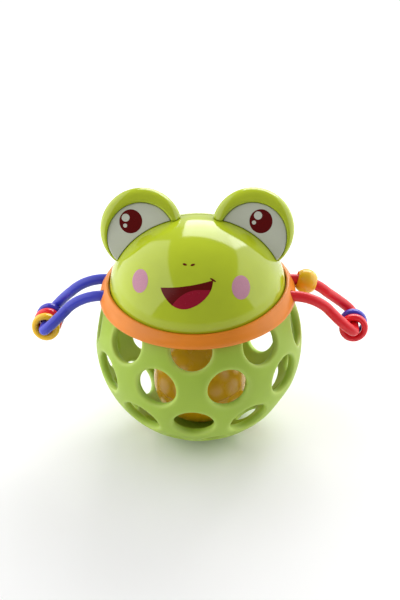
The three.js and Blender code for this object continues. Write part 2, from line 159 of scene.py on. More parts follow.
def turned(outline, turns=160):
    """A closed outline of (r, h) pairs carried round the axis: x = r cos t, y = r sin t, z = h."""
    radius, height = np.asarray(outline, float).T
    t = 2 * math.pi * np.arange(turns) / turns
    points = np.stack([np.outer(radius, np.cos(t)), np.outer(radius, np.sin(t)),
                       np.outer(height, np.ones(turns))], -1)
    on_axis = radius[0] == 0 and radius[-1] == 0
    return points.reshape(-1, 3), grid(len(radius), turns, rows_close=not on_axis)


def arc(radius, height, middle, start, end, steps):
    """Part of an ellipse in the (r, h) plane: r = radius cos a, h = middle + height sin a."""
    a = np.linspace(start, end, steps)
    return np.stack([radius * np.cos(a), middle + height * np.sin(a)], -1)


def placed(points, middle, axis):
    """Turns points so that their Z axis lies along an axis, then moves them to a middle."""
    z = np.array(axis, float) / np.linalg.norm(axis)
    x = np.cross([0, 1, 0] if abs(z[1]) < 0.9 else [1, 0, 0], z)
    x /= np.linalg.norm(x)
    return middle + points @ np.array([x, np.cross(z, x), z])


print("a grid of 3 by 4 points has", len(grid(3, 4)), "faces")

# %% [markdown]
# Every piece goes into the scene in the same way: it gets a finish, it rides on its CAD body, and it
# stands for its CAD nodes. A helper does all of this and prints the piece's size.

# %% Putting a piece in the scene
def add_piece(mesh, finish, body, slot=None, nodes=(), crease=None):
    """Shows a finished mesh as a piece that rides on a body and stands for CAD nodes."""
    piece = bpy.data.objects.new(mesh.name, mesh)
    bpy.context.scene.collection.objects.link(piece)
    mesh.materials.clear()
    mesh.materials.append(finish)
    mesh.shade_smooth()
    if crease:
        mesh.set_sharp_from_angle(angle=math.radians(crease))
    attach(piece, body)
    if nodes:
        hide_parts(*nodes)
    print(f"{piece.name}: {len(mesh.polygons)} faces, on {body}")
    return piece


# %% [markdown]
# Finishes are made of shader nodes. A small class wraps one output socket, so that shader maths can
# be written as plain sums: each + - * adds one Math node. Its `node` method adds any other node,
# with its settings first and then the values or wires of its sockets.

# %% Shader wires
def fill(node, sockets):
    """Gives a node's input sockets their values, or links them to wires."""
    for key, value in sockets.items():
        if isinstance(value, Wire):
            value.tree.links.new(value.socket, node.inputs[key])
        else:
            node.inputs[key].default_value = value


class Wire:
    """One output socket in a material, which takes part in sums."""

    def __init__(self, tree, socket=None):
        self.tree, self.socket = tree, socket

    def node(self, kind, settings, sockets, out=0):
        """Adds a node to the same tree and gives one of its outputs as a wire."""
        made = self.tree.nodes.new(kind)
        for key, value in settings.items():
            setattr(made, key, value)
        fill(made, sockets)
        return Wire(self.tree, made.outputs[out])

    def math(self, operation, *values):
        """One step of arithmetic on wires and numbers."""
        settings = {"operation": operation, "use_clamp": False}
        return self.node("ShaderNodeMath", settings, dict(enumerate(values)))

    def __add__(self, other):
        return self.math("ADD", self, other)

    def __sub__(self, other):
        return self.math("SUBTRACT", self, other)

    def __rsub__(self, other):
        return self.math("SUBTRACT", other, self)

    def __mul__(self, other):
        return self.math("MULTIPLY", self, other)

    __radd__, __rmul__ = __add__, __mul__


def noise(place, size, detail=2.0):
    """Soft random pattern whose spots are about so many millimetres across."""
    return place.node("ShaderNodeTexNoise", {}, {"Vector": place, "Scale": 1 / (size * MM), "Detail": detail})


def mix(share, first, second):
    """Colour between two colours: share 0 is the first and share 1 is the second."""
    return share.node("ShaderNodeMix", {"data_type": "RGBA"}, {0: share, 6: first, 7: second}, out=2)


def step(value, low, high):
    """Rises smoothly from 0 to 1 as a value goes from low to high."""
    return value.node("ShaderNodeMapRange", {"interpolation_type": "SMOOTHSTEP"},
                      {"Value": value, "From Min": low, "From Max": high})


def start_finish(name):
    """New material with its shader and the piece's own Object coordinates as a wire."""
    material = bpy.data.materials.new(name)
    material.use_nodes = True
    tree = material.node_tree
    place = Wire(tree).node("ShaderNodeTexCoord", {}, {}, out="Object")
    return material, tree.nodes["Principled BSDF"], place


def relief(height, strength, depth):
    """Normal of a surface whose relief follows a height wire and is so many millimetres deep."""
    return height.node("ShaderNodeBump", {}, {"Strength": strength, "Distance": depth * MM, "Height": height},
                       out="Normal")


def shade(red, green, blue, amount=1.0):
    """A colour with its alpha, made lighter or darker by an amount."""
    return (red * amount, green * amount, blue * amount, 1.0)


print("wires ready")

# %% [markdown]
# Moulded plastic is never one flat colour. The melt leaves slow drifts of shade a few centimetres
# across, the polish varies a little, and the mould's own grain shows as a very fine relief. Hard
# glossy plastic has almost no grain and a slight waviness. Soft plastic has a fine, even grain. One
# recipe covers all of them, and each finish gives its own colour, gloss and grain.

# %% Moulded finishes
def moulded(name, colour, gloss, grain, depth, drift=0.1):
    """Plastic with a slow drift of shade, an uneven polish and a fine grain of so many millimetres."""
    material, shader, place = start_finish(name)
    slow = noise(place, 24, 3)
    polish = noise(place, 7, 4)
    height = noise(place, grain, 2) * 0.8 + noise(place, grain * 9, 1) * 0.2
    fill(shader, {
        "Base Color": mix(step(slow, 0.32, 0.68), shade(*colour, 1 - drift), shade(*colour, 1 + drift / 2)),
        "Roughness": gloss + (polish - 0.5) * (gloss * 0.5),
        "Normal": relief(height, 0.35, depth),
    })
    return material


LIME = (0.46, 0.56, 0.018)
head_gloss = moulded("head_gloss", LIME, 0.1, 3.0, 0.012, 0.06)
collar_satin = moulded("collar_satin", (0.86, 0.25, 0.008), 0.42, 0.35, 0.02)
eye_ivory = moulded("eye_ivory", (0.60, 0.62, 0.52), 0.3, 0.6, 0.01, 0.05)
tube_blue = moulded("tube_blue", (0.045, 0.055, 0.56), 0.36, 0.5, 0.015)
tube_red = moulded("tube_red", (0.86, 0.012, 0.022), 0.36, 0.5, 0.015)
bead_blue = moulded("bead_blue", (0.045, 0.04, 0.50), 0.2, 1.5, 0.01)
bead_red = moulded("bead_red", (0.84, 0.012, 0.022), 0.2, 1.5, 0.01)
bead_yellow = moulded("bead_yellow", (0.94, 0.54, 0.016), 0.2, 1.5, 0.01)
amber_gloss = moulded("amber_gloss", (0.74, 0.36, 0.006), 0.26, 4.0, 0.01)
inner_plain = moulded("inner_plain", (0.60, 0.60, 0.54), 0.5, 0.4, 0.02)
print("moulded finishes:", len([m for m in bpy.data.materials if m.use_nodes]))

# %% [markdown]
# The soft ball is made of a rubbery plastic. Light goes a little way into it, so thin edges look
# lighter and the walls never look hard. The rounded lips of the holes get a painted highlight: their
# colour is made lighter there, and they are also a little smoother. Where a lip is comes from the shape
# itself: each point of the ball carries a number, worked out below, that is 1 on a lip and 0 away from one.

# %% The soft ball's finish
def soft_rubber(name, colour, lip_highlight_colour):
    """Rubbery plastic: a fine grain, a slow drift of shade and a painted highlight on the lips round the
    holes.
    """
    material, shader, place = start_finish(name)
    # Painted highlight: the lips of the holes are coloured lighter and made a little smoother.
    lip_highlight = place.node("ShaderNodeAttribute", {"attribute_name": "lip_highlight"}, {}, out="Fac")
    body = mix(step(noise(place, 30, 3), 0.3, 0.7), shade(*colour, 0.92), shade(*colour, 1.05))
    height = noise(place, 0.5, 2) * 0.7 + noise(place, 5, 2) * 0.3
    fill(shader, {
        "Base Color": mix(lip_highlight * 0.7, body, shade(*lip_highlight_colour)),
        "Roughness": 0.5 + (noise(place, 9, 4) - 0.5) * 0.2 - lip_highlight * 0.08,
        "Normal": relief(height, 0.4, 0.03),
        "Subsurface Weight": 0.25,
        "Subsurface Radius": (0.8, 1.0, 0.25),
        "Subsurface Scale": 0.003,
    })
    return material


# The second colour is the painted highlight on the lips of the holes.
ball_rubber = soft_rubber("ball_rubber", (0.37, 0.54, 0.045), (0.52, 0.68, 0.13))
print("finish:", ball_rubber.name)

# %% [markdown]
# The face is printed with a soft pad. Ink lies on the plastic as a thin film, a little less even
# than the plastic under it, with a fine speckle where it is thinner. It keeps most of the gloss.

# %% Ink finishes
def ink(name, colour, gloss=0.22):
    """Printed ink: one strong colour with a fine speckle and a slightly uneven film."""
    material, shader, place = start_finish(name)
    speckle = step(noise(place, 0.35, 3), 0.25, 0.75)
    fill(shader, {
        "Base Color": mix(speckle, shade(*colour, 0.9), shade(*colour, 1.08)),
        "Roughness": gloss + noise(place, 2, 3) * 0.08,
        "Normal": relief(noise(place, 0.8, 2), 0.2, 0.004),
        "Specular IOR Level": 0.18,
    })
    return material


ink_maroon = ink("ink_maroon", (0.115, 0.001, 0.001))
ink_crimson = ink("ink_crimson", (0.30, 0.007, 0.025))
ink_pink = ink("ink_pink", (0.56, 0.27, 0.36), 0.3)
ink_pale = ink("ink_pale", (0.62, 0.63, 0.56), 0.3)
print("inks ready")

# %% [markdown]
# A plated screw is bright steel, and its plating is dulled by very fine scratches. It is almost
# hidden inside the head, but it can be seen through the neck of the ball.

# %% Steel
def plated_steel(name):
    """Bright steel with fine scratches and slightly uneven plating."""
    material, shader, place = start_finish(name)
    scratch = noise(place, 0.15, 4)
    fill(shader, {
        "Base Color": mix(noise(place, 2, 2), shade(0.46, 0.47, 0.49), shade(0.58, 0.59, 0.60)),
        "Metallic": 1.0,
        "Roughness": 0.24 + scratch * 0.14,
        "Normal": relief(scratch, 0.2, 0.004),
    })
    return material


steel = plated_steel("steel")
print("finish:", steel.name)

# %% [markdown]
# Some pieces are a plain turned shape with things cut out of it, and every cut has a soft, rounded
# edge. Such a shape is easy to say as a field: a number for each point in space that is negative
# inside the plastic, zero on its skin and positive outside. Cutting is then the larger of two
# fields, and a smooth maximum rounds the edge between them by a chosen amount.
# The CAD node gives the right topology. It is remeshed into small, even quads, and each point then
# slides along the field's slope until the field is zero there.

# %% Fields and how a mesh settles on one
def rounded_max(a, b, edge):
    """The larger of a and b, plus (edge - |a - b|)^2 / (4 edge) where they are closer than edge."""
    near = np.maximum(edge - np.abs(a - b), 0)
    return np.maximum(a, b) + near * near / (4 * edge)


def rod(radial, along, radius, front, corner):
    """Distance to a round rod that ends at a front plane, with its end rounded by a corner radius."""
    out = np.stack([radial - (radius - corner), along - (front - corner)])
    return np.linalg.norm(np.maximum(out, 0), axis=0) + np.minimum(out.max(0), 0) - corner


def even_mesh(node, quad):
    """A CAD node's surface as even quads of so many millimetres."""
    source = frame["nodes"][node].data.copy()
    work = bmesh.new()
    work.from_mesh(source)
    bmesh.ops.remove_doubles(work, verts=work.verts, dist=WELD)
    work.to_mesh(source)
    work.free()
    rough = bpy.data.objects.new("rough", source)
    bpy.context.scene.collection.objects.link(rough)
    remesh = rough.modifiers.new("even", "REMESH")
    remesh.mode = "VOXEL"
    remesh.voxel_size = quad * MM
    bpy.context.view_layer.update()
    mesh = bpy.data.meshes.new_from_object(rough.evaluated_get(bpy.context.evaluated_depsgraph_get()))
    bpy.data.objects.remove(rough)
    return mesh


def slope_of(field, points, reach=0.02):
    """Slope of a field by central differences along X, Y and Z."""
    return np.stack([(field(points + reach * axis) - field(points - reach * axis)) / (2 * reach)
                     for axis in np.eye(3)], -1)


def settled(name, node, quad, field, rounds=6, most=0.4):
    """The node's even mesh, each point moved by - field * slope / |slope|^2 until the field is 0."""
    mesh = even_mesh(node, quad)
    mesh.name = name
    flat = np.empty(len(mesh.vertices) * 3)
    mesh.vertices.foreach_get("co", flat)
    points = from_frame(flat.reshape(-1, 3))
    for _ in range(rounds):
        slope = slope_of(field, points)
        move = -(field(points) / np.maximum((slope ** 2).sum(1), 0.05))[:, None] * slope
        length = np.linalg.norm(move, axis=1, keepdims=True)
        points = points + move * np.minimum(1, most / np.maximum(length, 1e-9))
    mesh.vertices.foreach_set("co", to_frame(points).ravel())
    mesh.update()
    print(f"{name}: {len(points)} points, furthest from its field {np.abs(field(points)).max():.3f} mm")
    return mesh, points


# %% [markdown]
# The soft ball is one shell, 4 mm thick, with staggered rows of nine round holes. The whole pattern
# leans, so that its front side is up. Holes that would break the foot or meet the collar are left
# out. The ball has a flat foot with a small hole in it, and a narrower neck that goes up into the
# head. The lips of the holes are rounded, so that they are kind to a baby's mouth.

# %% Soft ball
GAP = 0.3
BALL_R, CAVITY_R, FOOT_Z, POLE_HOLE_R = 50, 46, -48.5, 7.4
SEAT_R, SEAT_Z, RIM_Z = 48, 26, 35.2
HOLE_DRAFT, HOLE_HALF = 0.3, 6
HOLE_LIP, SMALL_LIP = 1.7, 0.8
# Painted highlight: the lips of the holes are coloured lighter over this width.
LIP_HIGHLIGHT_WIDTH = 1.5  # how far the paler colour of a lip reaches
BALL_QUAD = 0.85  # size of the ball's quads
# latitude, first longitude, radius
HOLE_ROWS = ((34, 18.4, 9.5), (11.6, -1.6, 9.5), (-10.6, 18.4, 9.5), (-36.6, -1.6, 9.5), (-60, 18.4, 6))
HOLES_PER_ROW, HOLE_TILT = 9, math.radians(16)
HOLE_LOWEST, HOLE_HIGHEST = math.sin(math.radians(-67)), math.sin(math.radians(29))


def hole_axis(turn, height):
    """Direction (x, c y + s z, c z - s y) of a hole, c and s being the tilt's cosine and sine."""
    x, y, z = direction(math.radians(turn), math.radians(height))
    c, s = math.cos(HOLE_TILT), math.sin(HOLE_TILT)
    return np.array([x, c * y + s * z, c * z - s * y])


HOLES = [(hole_axis(first + 360 * i / HOLES_PER_ROW, latitude), radius)
         for latitude, first, radius in HOLE_ROWS for i in range(HOLES_PER_ROW)]
HOLES = [(axis, radius) for axis, radius in HOLES if HOLE_LOWEST < axis[2] < HOLE_HIGHEST]


def hole_field(points):
    """Depth inside the nearest hole: its radius, wider outside, minus the distance to its axis."""
    deepest = np.full(len(points), -1e3)
    for axis, radius in HOLES:
        along = points @ axis
        away = np.linalg.norm(points - along[:, None] * axis, axis=1)
        wide = radius + HOLE_DRAFT * (along - (BALL_R + CAVITY_R) / 2) / HOLE_HALF
        deepest = np.maximum(deepest, np.where(along > 0, wide - away, -1e3))
    return deepest


def ball_field(points):
    """The shell is between two balls, cut by the foot, the neck's step, the pole hole and the holes."""
    far = np.linalg.norm(points, axis=1)
    height = points[:, 2]
    lower = rounded_max(far - BALL_R, height - SEAT_Z, SMALL_LIP)
    neck = rounded_max(far - SEAT_R, height - RIM_Z, SMALL_LIP)
    shell = rounded_max(np.minimum(lower, neck), CAVITY_R - far, SMALL_LIP)
    shell = rounded_max(shell, FOOT_Z - height, SMALL_LIP)
    pole = np.where(height < 0, POLE_HOLE_R - np.hypot(points[:, 0], points[:, 1]), -1e3)
    return rounded_max(rounded_max(shell, pole, SMALL_LIP), hole_field(points), HOLE_LIP)


ball_mesh, ball_points = settled("soft_ball", "ball_body", BALL_QUAD, ball_field)
# Painted highlight: a mask, 1 on the outer lips of the holes and 0 away from them, which the finish colours
# lighter.
lip_highlight = np.exp(-(hole_field(ball_points) / LIP_HIGHLIGHT_WIDTH) ** 2)
lip_highlight *= np.clip(np.linalg.norm(ball_points, axis=1) - CAVITY_R - LIP_HIGHLIGHT_WIDTH, 0, 1)
ball_mesh.attributes.new("lip_highlight", "FLOAT", "POINT").data.foreach_set("value", lip_highlight.astype(np.float32))
add_piece(ball_mesh, ball_rubber, "toy", "soft_green", ["ball_body"])

# %% [markdown]
# The collar is a turned ring whose top edge climbs a little towards both sides. Its outer face is
# one soft curve through a few design points, drawn by a spline that passes through each of them.
# The four sockets for the tube ends are cut out of it afterwards.

# %% Collar
COLLAR_RISE, COLLAR_TURNS = 2.8, 320
COLLAR_LIP_R, SEAT_TOP_Z, SEAT_LOW_Z, SKIRT_R, SKIRT_Z = 42, 30.7, 26.4, 43.3, 25.5
TUBE_R, LEG_Y, LEG_Z, ROOT_X = 2.5, 7.5, 29.3, 42
SOCKET_REACH = 10


def through(points, steps):
    """Catmull-Rom spline: a cubic between two points, whose slope at a point joins its neighbours."""
    p = np.vstack([2 * points[0] - points[1], points, 2 * points[-1] - points[-2]])
    a, b, c, d = p[:-3, None], p[1:-2, None], p[2:-1, None], p[3:, None]
    t = (np.arange(steps) / steps)[None, :, None]
    square, cube = 2 * a - 5 * b + 4 * c - d, 3 * b - 3 * c + d - a
    curve = 0.5 * (2 * b + (c - a) * t + square * t ** 2 + cube * t ** 3)
    return np.vstack([curve.reshape(-1, points.shape[1]), points[-1:]])


# radius, height, share of the climb
outer_face = np.array([
    (45.7, 25.5, 0), (46.35, 25.65, 0), (46.6, 26.3, 0), (46.35, 27.7, 0.2), (45.4, 29.2, 0.5),
    (44.3, 30.2, 0.75), (43.6, 30.8, 0.95), (43.1, 31.15, 1), (42.45, 31.15, 1), (42.0, 30.9, 1)])
seat_heights = np.linspace(SEAT_TOP_Z, SEAT_LOW_Z, 5)
seat = np.stack([np.sqrt((SEAT_R + GAP) ** 2 - seat_heights ** 2), seat_heights, 0 * seat_heights], -1)
skirt = [(SKIRT_R, SEAT_LOW_Z, 0), (SKIRT_R, SKIRT_Z, 0)]
collar_outline = np.vstack([through(outer_face, 8), [(COLLAR_LIP_R, SEAT_TOP_Z, 0)], seat, skirt])


def collar_surface():
    """The outline carried round the axis, with z raised by rise * climb * (x / r)^2."""
    points, faces = turned(collar_outline[:, :2], COLLAR_TURNS)
    climb = np.repeat(collar_outline[:, 2], COLLAR_TURNS)
    points[:, 2] += COLLAR_RISE * climb * (points[:, 0] / np.hypot(points[:, 0], points[:, 1])) ** 2
    return mesh_of("collar_ring", points, faces)


def cut_by(mesh, cutters):
    """A mesh with closed cutter meshes taken out of it."""
    whole = bpy.data.objects.new("whole", mesh)
    bpy.context.scene.collection.objects.link(whole)
    tools = []
    for cutter in cutters:
        tool = bpy.data.objects.new("tool", cutter)
        bpy.context.scene.collection.objects.link(tool)
        tools.append(tool)
        cut = whole.modifiers.new("cut", "BOOLEAN")
        cut.object, cut.operation, cut.solver = tool, "DIFFERENCE", "EXACT"
    bpy.context.view_layer.update()
    result = bpy.data.meshes.new_from_object(whole.evaluated_get(bpy.context.evaluated_depsgraph_get()))
    for made in [whole, *tools]:
        bpy.data.objects.remove(made)
    return result


def socket_cutter(side, leg):
    """A round bar along X, from just inside the tube's root to outside the collar."""
    wide = TUBE_R + GAP
    points, faces = turned([(0, 0), (wide, 0), (wide, SOCKET_REACH), (0, SOCKET_REACH)], 48)
    root = (side * (ROOT_X - GAP), leg * LEG_Y, LEG_Z)
    return mesh_of("socket", placed(points, root, (side, 0, 0)), faces)


collar_mesh = cut_by(collar_surface(), [socket_cutter(side, leg) for side in (-1, 1) for leg in (-1, 1)])
collar_mesh.name = "collar_ring"
add_piece(collar_mesh, collar_satin, "toy", "orange", ["collar"], crease=35)

# %% [markdown]
# The head is half of a flattened ball with a thin wall. It is turned, with its outer and inner
# faces joined at the foot, so it is one closed skin.

# %% Head dome
DOME_R, DOME_H, DOME_Z, DOME_WALL, DOME_FOOT_Z = 41.6, 32, 30.5, 2.4, 31
RIGHT_ANGLE = math.pi / 2


def dome_outline():
    """Outer ellipse from the foot to the crown, then the inner ellipse back down."""
    foot = [math.asin((DOME_FOOT_Z - DOME_Z) / (DOME_H - wall)) for wall in (0, DOME_WALL)]
    outer = arc(DOME_R, DOME_H, DOME_Z, foot[0], RIGHT_ANGLE, 100)
    inner = arc(DOME_R - DOME_WALL, DOME_H - DOME_WALL, DOME_Z, RIGHT_ANGLE, foot[1], 40)
    outer[-1, 0] = inner[0, 0] = 0
    return np.vstack([outer, inner])


add_piece(mesh_of("head_shell", *turned(dome_outline(), 256)), head_gloss, "toy", "head_green", ["head_dome"],
          crease=40)

# %% [markdown]
# Each eye is a round bump that looks up and forwards. A front half with a deep round recess meets a
# back half at a fine parting line, and both are cut to the head's curve. An ivory disc lies in the
# recess. Its middle is lower than the bump's, so the rim is thick above and thin below. These are
# fields again, said in the eye's own axes: X to the right, Y up the disc and Z the way it looks.

# %% Eyes
EYE_LEAN = math.radians(34.5)
EYE_DEPTH, EYE_X, EYE_UP, EYE_R = 27.5, 26.1, 51.25, 19.4
EYE_WHITE_R, EYE_WHITE_DROP, EYE_WHITE_T, EYE_LIP = 15.6, 3.85, 1, 1.7
EYE_SPLIT, EYE_BACK, EYE_WALL, EYE_FLOOR, EYE_FLOOR_T = -4.6, -15, 2, -1.3, 2
EYE_RIM_ROUND, EYE_BACK_ROUND = 4.6, 7
FINE_EDGE, SOFT_EDGE, THIN_EDGE = 0.5, 1.6, 0.2
DISC_SWELL = 0.22  # the disc fills most of the gap round it
DISC_CUT_EDGE = 0.3
eye_look = direction(0, EYE_LEAN)
eye_rise = np.array([0, math.sin(EYE_LEAN), math.cos(EYE_LEAN)])
eye_axes = np.array([[1, 0, 0], eye_rise, eye_look])


def eye_middle(side):
    """Middle of an eye bump: out by X, forwards along its look, and up along its disc."""
    return np.array([side * EYE_X, 0, 0]) + EYE_DEPTH * eye_look + EYE_UP * eye_rise


def inside_dome(points):
    """Depth inside the head, with the usual gap: about (1 - k) * size, with k the ellipse's own radius."""
    size = np.array([DOME_R + GAP, DOME_R + GAP, DOME_H + GAP])
    away = (points - [0, 0, DOME_Z]) / size
    k = np.linalg.norm(away, axis=1)
    return k * (1 - k) / np.maximum(np.linalg.norm(away / size, axis=1), 1e-6)


def in_eye(points, side):
    """Points in an eye's own axes, with their distances from the bump's and the disc's axes."""
    x, y, z = ((points - eye_middle(side)) @ eye_axes.T).T
    return z, np.hypot(x, y), np.hypot(x, y + EYE_WHITE_DROP)


def front_field(side):
    """Rounded bump, cut by its parting plane, the recess, the hollow behind and the head."""
    def field(points):
        z, radial, disc = in_eye(points, side)
        skin = rounded_max(rod(radial, z, EYE_R, EYE_LIP, EYE_RIM_ROUND), EYE_SPLIT - z, FINE_EDGE)
        recess = np.minimum(EYE_WHITE_R + GAP - disc, z - EYE_FLOOR)
        hollow = np.minimum(EYE_R - EYE_WALL - radial, EYE_FLOOR - EYE_FLOOR_T - z)
        skin = rounded_max(rounded_max(skin, recess, SOFT_EDGE), hollow, FINE_EDGE)
        return rounded_max(skin, inside_dome(points), FINE_EDGE)
    return field


def back_field(side):
    """Rounded cup behind the parting plane, hollow inside and cut by the head."""
    def field(points):
        z, radial, _ = in_eye(points, side)
        skin = rod(radial, -z, EYE_R, -EYE_BACK, EYE_BACK_ROUND)
        skin = rounded_max(skin, z - (EYE_SPLIT - GAP), FINE_EDGE)
        hollow = -rod(radial, -z, EYE_R - EYE_WALL, -EYE_BACK - EYE_WALL, EYE_BACK_ROUND - EYE_WALL)
        return rounded_max(rounded_max(skin, hollow, FINE_EDGE), inside_dome(points), FINE_EDGE)
    return field


def white_field(side):
    """Flat disc with softened edges, cut by the head."""
    def field(points):
        z, _, disc = in_eye(points, side)
        skin = rounded_max(disc - EYE_WHITE_R - DISC_SWELL, z, THIN_EDGE)
        skin = rounded_max(skin, -EYE_WHITE_T - z, THIN_EDGE)
        return rounded_max(skin, inside_dome(points), DISC_CUT_EDGE)
    return field


for side, name in ((-1, "left"), (1, "right")):
    for part, field, finish, slot, quad in (
            ("front", front_field, head_gloss, "head_green", 0.42),
            ("back", back_field, head_gloss, "head_green", 0.5),
            ("white", white_field, eye_ivory, "white", 0.36)):
        node = f"eye_{part}_{name}"
        eye_mesh, _ = settled(f"{name}_eye_{part}", node, quad, field(side))
        add_piece(eye_mesh, finish, "toy", slot, [node])

# %% [markdown]
# The print is a set of thin films of ink. The pad that prints the face comes down on it from the
# front and above, so each mark is drawn on a flat sheet that faces that way and then dropped onto
# the head. Each film is a closed skin: rings of points from its middle to its edge lie just above
# the plastic, and the same rings come back just below it.

# %% Films of ink
PAD_HEIGHT = math.radians(35)
FILM = 0.05
pad_look = direction(0, PAD_HEIGHT)
pad_axes = np.array([[1, 0, 0], np.cross(pad_look, [1, 0, 0])])


def on_head(marks, lift):
    """Drops (u, v) marks of the flat sheet along the pad's way onto the head, lifted off it."""
    size = np.array([DOME_R + lift, DOME_R + lift, DOME_H + lift])
    start = (marks @ pad_axes - [0, 0, DOME_Z]) / size
    way = pad_look / size
    half = (start @ way) / (way @ way)
    reach = -half + np.sqrt(half ** 2 - ((start ** 2).sum(1) - 1) / (way @ way))
    return marks @ pad_axes + reach[:, None] * pad_look


def on_eye(side):
    """Places (x, y) marks, measured from the eye's middle, on its ivory disc."""
    def place(marks, lift):
        flat = np.column_stack([marks, np.full(len(marks), lift)])
        return eye_middle(side) + flat @ eye_axes
    return place


def film(name, outline, place, finish, layer=1, rings=14):
    """Rings share out the way from the outline's middle to its edge, above the skin and back below."""
    outline = np.asarray(outline)
    middle = (outline.max(0) + outline.min(0)) / 2
    share = np.linspace(0, 1, rings)
    sheets = []
    for portion, lift in ((share, layer * FILM), (share[::-1], -FILM)):
        marks = middle + portion[:, None, None] * (outline - middle)
        sheets.append(place(marks.reshape(-1, 2), lift))
    mesh = mesh_of(name, np.vstack(sheets), grid(2 * rings, len(outline)))
    return add_piece(mesh, finish, "toy", crease=50)


def oval(x, y, half_x, half_y, tilt=0.0, count=72):
    """Outline of a tilted ellipse: half sizes times cos t and sin t, turned, then moved."""
    t = 2 * math.pi * np.arange(count) / count
    across, up = half_x * np.cos(t), half_y * np.sin(t)
    c, s = math.cos(math.radians(tilt)), math.sin(math.radians(tilt))
    return np.stack([x + across * c - up * s, y + across * s + up * c], -1)


print("films lie", FILM, "mm above the plastic")

# %% [markdown]
# The mouth is a wide open smile. Its upper edge is nearly straight and rises to the right. Its
# lower edge hangs below that line like half of an oval, fuller on the right. The tongue fills the
# lower right part, under its own arched edge. A short stroke closes the right corner.

# %% Mouth, tongue, nostrils and cheeks
MOUTH_LEFT, MOUTH_RIGHT = np.array([-14.9, 22.1]), np.array([8.5, 25.3])
MOUTH_SAG, MOUTH_DEPTH = 1.1, 11.3
TONGUE_LEFT, TONGUE_RIGHT, TONGUE_TOP, TONGUE_DROP = -9.8, 7.2, 20.9, 7.0
TONGUE_PEAK = 3.5


def mouth_line(s):
    """Straight line between the mouth's corners, at a share s of the way."""
    return MOUTH_LEFT + s[:, None] * (MOUTH_RIGHT - MOUTH_LEFT)


def mouth_lower(s):
    """Height of the lower edge: the line minus depth * (4 s (1 - s))^p, with p falling to the right."""
    return mouth_line(s)[:, 1] - MOUTH_DEPTH * (4 * s * (1 - s)) ** (0.8 - 0.32 * s)


t = 2 * math.pi * np.arange(160) / 160
s = np.clip((1 + np.cos(t)) / 2, 0, 1)
upper = mouth_line(s)[:, 1] - MOUTH_SAG * 4 * s * (1 - s)
mouth = np.stack([mouth_line(s)[:, 0], np.where(np.sin(t) >= 0, upper, mouth_lower(s))], -1)
film("print_mouth", mouth, on_head, ink_maroon, rings=20)

tongue_x = (TONGUE_LEFT + TONGUE_RIGHT) / 2 + (TONGUE_RIGHT - TONGUE_LEFT) / 2 * np.cos(t)
tongue_s = (tongue_x - MOUTH_LEFT[0]) / (MOUTH_RIGHT[0] - MOUTH_LEFT[0])
tongue_rise = np.clip((TONGUE_PEAK - tongue_x) / (TONGUE_PEAK - TONGUE_LEFT), 0, 1)
tongue_top = TONGUE_TOP - TONGUE_DROP * tongue_rise ** 2.5
tongue = np.stack([tongue_x, np.where(np.sin(t) >= 0, tongue_top, mouth_lower(tongue_s))], -1)
film("print_tongue", tongue, on_head, ink_crimson, layer=2, rings=20)

film("print_smile_corner", oval(8.5, 25.45, 1.55, 0.42, -32), on_head, ink_maroon)
film("print_nostril_left", oval(-4.2, 32.5, 1.0, 0.5, -20), on_head, ink_maroon)
film("print_nostril_right", oval(-0.6, 32.3, 1.0, 0.5, 18), on_head, ink_maroon)
film("print_cheek_left", oval(-24.6, 25.4, 3.75, 5.45), on_head, ink_pink)
film("print_cheek_right", oval(20.9, 22.4, 4.05, 5.45), on_head, ink_pink)

# %% [markdown]
# The pupils are printed on the ivory discs, each with a large and a small pale spot, so the frog
# seems to look to one side.

# %% Pupils
PUPIL_R, PUPIL_TALL = 5.35, 5.6
for side, name, x, y, spots in (
        (-1, "left", -4.75, 3.25, ((-2.4, 1.7, 1.85), (-2.6, -2.0, 0.95))),
        (1, "right", 3.75, 3.25, ((-1.35, 2.65, 1.9), (-3.25, -0.6, 0.95)))):
    film(f"print_pupil_{name}", oval(x, y, PUPIL_R, PUPIL_TALL), on_eye(side), ink_maroon)
    for number, (aside, above, radius) in enumerate(spots, 1):
        spot = oval(x + aside, y + above, radius, radius)
        film(f"print_glint_{name}_{number}", spot, on_eye(side), ink_pale, layer=2, rings=6)

# %% [markdown]
# Each arm is one soft tube. It leaves its front socket level, bends down round a circle, swings
# outwards to the loop's straight far end, and comes back the same way to the rear socket. The path
# is a list of points, and a circle is carried along it. The circle's own axes come from a direction
# that the path never runs along, so the tube doesn't twist.

# %% Path of a tube loop
LEG_BEND_X, LEG_BEND_R, LEG_BEND = 44.6, 24, math.radians(45)
LEG_SPLAY, LEG_REACH, END_HANDLE, LOOP_Z, LOOP_HALF = 2.2, 8, 3.4, 10.3, 7.8
LOOPS = {"left": (-1, 73.9, 72.3), "right": (1, 74.3, 74.3)}  # side, front and rear corners


def bezier(a, b, c, d, steps):
    """Cubic through a and d with handles b and c: the weights are the terms of ((1 - t) + t)^3."""
    t = np.linspace(0, 1, steps)[:, None]
    return (1 - t) ** 3 * a + 3 * (1 - t) ** 2 * t * b + 3 * (1 - t) * t ** 2 * c + t ** 3 * d


def leg_path(leg, corner, skew):
    """Level start, circular bend and curve to the loop's corner. leg is -1 in front and 1 behind."""
    turn = np.linspace(0, LEG_BEND, 40)
    bend = np.stack([LEG_BEND_X + LEG_BEND_R * np.sin(turn), np.full(40, leg * LEG_Y),
                     LEG_Z - LEG_BEND_R * (1 - np.cos(turn))], -1)
    start = np.array([[ROOT_X, leg * LEG_Y, LEG_Z]])
    handle = bend[-1] + [LEG_REACH * math.cos(LEG_BEND), leg * LEG_SPLAY, -LEG_REACH * math.sin(LEG_BEND)]
    end = np.array([corner, leg * LOOP_HALF, LOOP_Z])
    last = end + [-leg * skew, leg * END_HANDLE, 0]
    return np.vstack([start, bend, bezier(bend[-1], handle, last, end, 70)[1:]])


